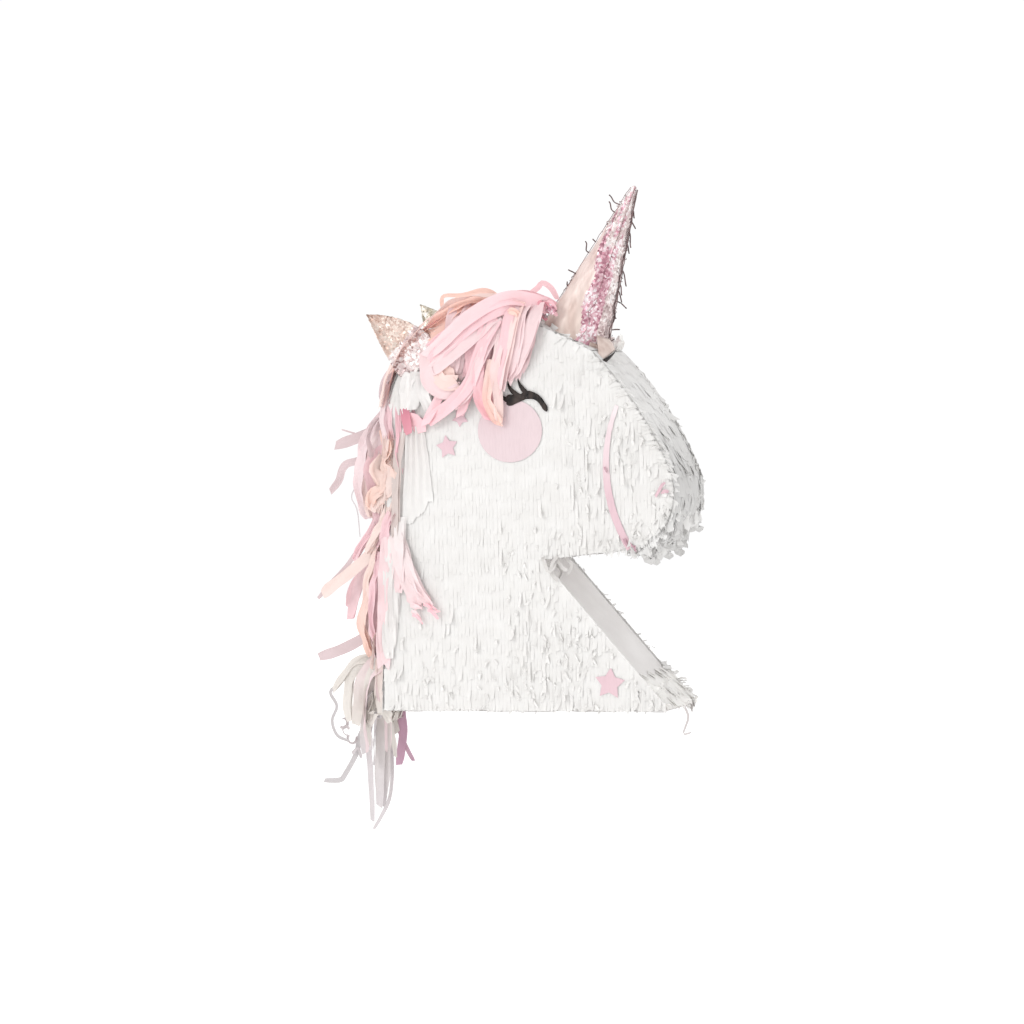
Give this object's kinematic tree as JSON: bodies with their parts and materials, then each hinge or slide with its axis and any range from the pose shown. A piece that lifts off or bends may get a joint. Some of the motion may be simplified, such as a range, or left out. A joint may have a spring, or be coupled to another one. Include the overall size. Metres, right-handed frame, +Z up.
{
  "type": "unicorn head pinata",
  "caption": "Hanging cardboard unicorn-head pinata skinned in fringed white tissue, with a glitter horn and ears, a streamer mane and a filling flap.",
  "frame": {"origin": "mouth of the hanging hole, on the crown's outer card face, midway between the two sides", "axes": "+X towards the snout, +Y towards the far side with the filling flap, +Z up along the hanging hole"},
  "size_m": [0.4009, 0.1091, 0.646],
  "materials": {
    "card": "matt",
    "gummed_tape": "matt",
    "white_tissue": "matt",
    "pink_glitter_foil": "glitter",
    "dark_tinsel": "gloss",
    "rose_gold_glitter": "glitter",
    "black_foil": "gloss",
    "pale_pink_paper": "matt",
    "pink_paper": "matt",
    "pink_tissue": "matt",
    "peach_tissue": "matt",
    "white_streamer": "matt",
    "cream_tissue": "matt"
  },
  "bodies": {
    "shell": {"near_panel": "card", "far_panel": "card", "base_strip": "card", "chest_strip": "card", "jaw_strip": "card", "snout_strip": "card", "crown_strip": "card", "back_strip": "card", "corner_tapes": "gummed_tape", "hang_patch": "card", "horn_cone": "card", "horn_foil": "pink_glitter_foil", "horn_wires": "dark_tinsel", "near_ear": "card", "far_ear": "card", "near_ear_foil": "rose_gold_glitter", "far_ear_foil": "rose_gold_glitter", "near_fringe": "white_tissue", "far_fringe": "white_tissue", "snout_fringe": "white_tissue", "seat_fringe": "white_tissue", "crown_fringe": "white_tissue", "back_fringe": "white_tissue", "toe_fringe": "white_tissue", "near_eye": "black_foil", "far_eye": "black_foil", "near_cheek": "pale_pink_paper", "far_cheek": "pale_pink_paper", "near_muzzle_band": "pink_paper", "far_muzzle_band": "pink_paper", "near_nostril": "pink_paper", "far_nostril": "pink_paper", "near_stars": "pink_paper", "far_stars": "pink_paper", "forelock": "pink_tissue", "forelock_crown": "pink_tissue", "neck_streamers": "white_streamer", "mane_top": "peach_tissue", "mane_middle": "pink_tissue", "mane_tail": "cream_tissue"},
    "flap": {"fill_flap": "card", "flap_fringe": "white_tissue"}
  },
  "joints": [
    {"name": "fill_flap_fold", "type": "hinge", "parent": "shell", "child": "flap", "pos_m": [-0.01, 0.042, -0.21], "axis": [1, 0, 0], "range_deg": [0, 100]}
  ]
}
